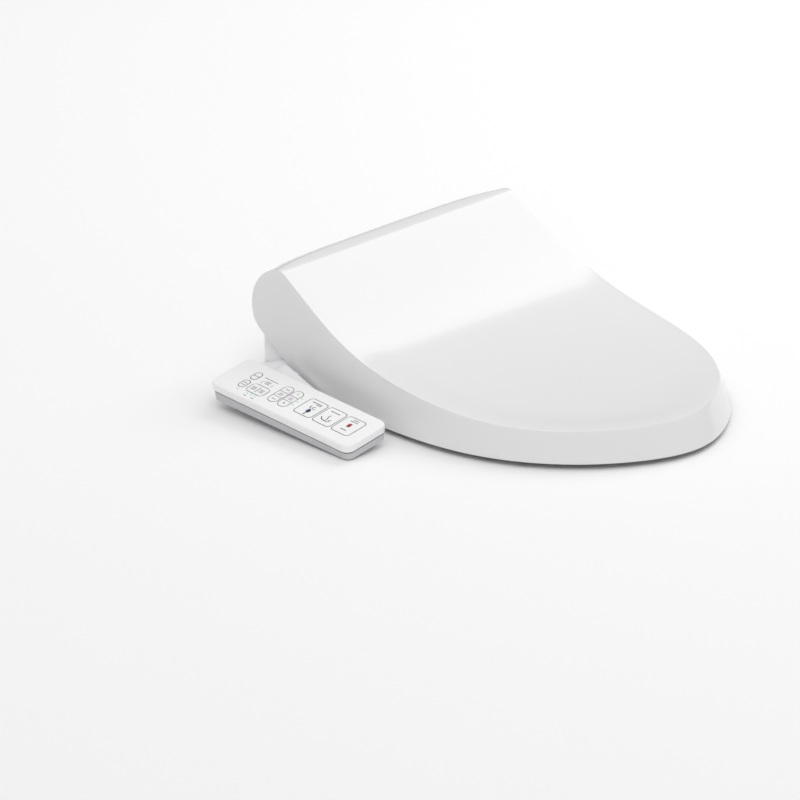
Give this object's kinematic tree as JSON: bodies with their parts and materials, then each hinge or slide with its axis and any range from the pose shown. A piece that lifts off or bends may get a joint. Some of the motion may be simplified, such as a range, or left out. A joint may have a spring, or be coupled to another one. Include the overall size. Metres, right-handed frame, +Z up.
{
  "type": "electric bidet seat",
  "caption": "Elongated electric bidet seat with a swooping closed lid, heated seat ring, rear washing unit with two wash nozzles, and a tilted control panel on an arm at the user's right.",
  "frame": {"origin": "on the rim plane, midway between the two fixing holes of the mounting plate", "axes": "+Z up, +Y towards the wall behind the toilet, -X the user's right, where the control panel is"},
  "size_m": [0.4995, 0.5178, 0.1439],
  "materials": {
    "lid_gloss": "polished white moulding",
    "seat_gloss": "polished white moulding",
    "housing": "satin light grey-white moulding",
    "panel_white": "satin white moulding",
    "panel_grey": "light grey moulding",
    "key_white": "satin white with dark printed outlines",
    "soft_white": "soft buffer",
    "seal_dark": "dark seam seal",
    "steel": "turned",
    "brass": "turned",
    "black_plastic": "moulded",
    "board": "circuit board",
    "led_green": "translucent lens",
    "nozzle_white": "polished",
    "nozzle_steel": "polished tube",
    "tank": "moulded heater tank",
    "hose": "translucent silicone",
    "foil": "heater foil",
    "plate": "moulded mounting plate"
  },
  "bodies": {
    "root": {"rear_cover": "housing", "base_tray": "housing", "mounting_plate": "plate", "unit_feet": "soft_white", "hinge_pins": "steel", "lid_damper": "black_plastic", "seat_damper": "black_plastic", "water_heater": "tank", "inlet_fitting": "brass", "solenoid_valve": "black_plastic", "flow_diverter": "black_plastic", "vacuum_breaker": "tank", "warm_water_hose": "hose", "nozzle_cradle": "tank", "nozzle_drives": "black_plastic", "nozzle_bay_frame": "housing", "flap_rod": "steel", "control_board": "board", "cord_gland": "black_plastic", "deodoriser_fan": "black_plastic", "deodoriser_cartridge": "panel_grey", "side_arm": "housing", "panel_cover": "panel_white", "panel_gasket": "seal_dark", "panel_base": "panel_grey", "panel_board": "board", "key_switches": "black_plastic", "led_lenses": "led_green", "panel_screws": "steel", "housing_screws": "steel"},
    "seat": {"seat_upper_shell": "seat_gloss", "seat_lower_shell": "seat_gloss", "seat_heater": "foil", "seat_buffers": "soft_white"},
    "lid": {"lid_shell": "lid_gloss", "lid_rear_strip": "lid_gloss", "lid_buffers": "soft_white"},
    "rear_nozzle": {"rear_nozzle": "nozzle_steel", "rear_nozzle_tip": "nozzle_white"},
    "front_nozzle": {"front_nozzle": "nozzle_steel", "front_nozzle_tip": "nozzle_white"},
    "rear_flap": {"rear_nozzle_flap": "housing"},
    "front_flap": {"front_nozzle_flap": "housing"},
    "release_button": {"release_button": "panel_grey"},
    "key_power": {"key_power": "key_white"},
    "key_saver": {"key_saver": "key_white"},
    "key_water_temperature": {"key_water_temperature": "key_white"},
    "key_seat_temperature": {"key_seat_temperature": "key_white"},
    "key_pressure_up": {"key_pressure_up": "key_white"},
    "key_pressure_down": {"key_pressure_down": "key_white"},
    "key_position_back": {"key_position_back": "key_white"},
    "key_position_front": {"key_position_front": "key_white"},
    "key_rear_wash": {"key_rear_wash": "key_white"},
    "key_front_wash": {"key_front_wash": "key_white"},
    "key_stop": {"key_stop": "key_white"}
  },
  "joints": [
    {"name": "seat_hinge", "type": "hinge", "parent": "root", "child": "seat", "pos_m": [0, 0.034, 0.0945], "axis": [-1, 0, 0], "range_deg": [0, 98]},
    {"name": "lid_hinge", "type": "hinge", "parent": "seat", "child": "lid", "pos_m": [0, 0.034, 0.0945], "axis": [1, 0, 0], "range_deg": [-105, 0]},
    {"name": "rear_nozzle_slide", "type": "slide", "parent": "root", "child": "rear_nozzle", "axis": [0, -0.9063, -0.4226], "range_m": [0, 0.1]},
    {"name": "front_nozzle_slide", "type": "slide", "parent": "root", "child": "front_nozzle", "axis": [0, -0.9063, -0.4226], "range_m": [0, 0.11]},
    {"name": "rear_flap_hinge", "type": "hinge", "parent": "root", "child": "rear_flap", "pos_m": [0.013, -0.0677, 0.03], "axis": [-1, 0, 0], "range_deg": [0, 92]},
    {"name": "front_flap_hinge", "type": "hinge", "parent": "root", "child": "front_flap", "pos_m": [-0.013, -0.0677, 0.03], "axis": [-1, 0, 0], "range_deg": [0, 101]},
    {"name": "release_button_press", "type": "slide", "parent": "root", "child": "release_button", "axis": [-1, 0, 0], "range_m": [0, 0.004], "stiffness_N_per_m": 300},
    {"name": "key_power_press", "type": "slide", "parent": "root", "child": "key_power", "axis": [0.1702, 0.0662, -0.9832], "range_m": [0, 0.0006], "stiffness_N_per_m": 1200},
    {"name": "key_saver_press", "type": "slide", "parent": "root", "child": "key_saver", "axis": [0.1702, 0.0662, -0.9832], "range_m": [0, 0.0006], "stiffness_N_per_m": 1200},
    {"name": "key_water_temperature_press", "type": "slide", "parent": "root", "child": "key_water_temperature", "axis": [0.1702, 0.0662, -0.9832], "range_m": [0, 0.0006], "stiffness_N_per_m": 1200},
    {"name": "key_seat_temperature_press", "type": "slide", "parent": "root", "child": "key_seat_temperature", "axis": [0.1702, 0.0662, -0.9832], "range_m": [0, 0.0006], "stiffness_N_per_m": 1200},
    {"name": "key_pressure_up_press", "type": "slide", "parent": "root", "child": "key_pressure_up", "axis": [0.1702, 0.0662, -0.9832], "range_m": [0, 0.0006], "stiffness_N_per_m": 1200},
    {"name": "key_pressure_down_press", "type": "slide", "parent": "root", "child": "key_pressure_down", "axis": [0.1702, 0.0662, -0.9832], "range_m": [0, 0.0006], "stiffness_N_per_m": 1200},
    {"name": "key_position_back_press", "type": "slide", "parent": "root", "child": "key_position_back", "axis": [0.1702, 0.0662, -0.9832], "range_m": [0, 0.0006], "stiffness_N_per_m": 1200},
    {"name": "key_position_front_press", "type": "slide", "parent": "root", "child": "key_position_front", "axis": [0.1702, 0.0662, -0.9832], "range_m": [0, 0.0006], "stiffness_N_per_m": 1200},
    {"name": "key_rear_wash_press", "type": "slide", "parent": "root", "child": "key_rear_wash", "axis": [0.1702, 0.0662, -0.9832], "range_m": [0, 0.0006], "stiffness_N_per_m": 1200},
    {"name": "key_front_wash_press", "type": "slide", "parent": "root", "child": "key_front_wash", "axis": [0.1702, 0.0662, -0.9832], "range_m": [0, 0.0006], "stiffness_N_per_m": 1200},
    {"name": "key_stop_press", "type": "slide", "parent": "root", "child": "key_stop", "axis": [0.1702, 0.0662, -0.9832], "range_m": [0, 0.0006], "stiffness_N_per_m": 1200}
  ],
  "couplings": [
    {"joint": "rear_flap_hinge", "follows": "rear_nozzle_slide", "rad_per_m": 15.708},
    {"joint": "front_flap_hinge", "follows": "front_nozzle_slide", "rad_per_m": 15.708}
  ]
}
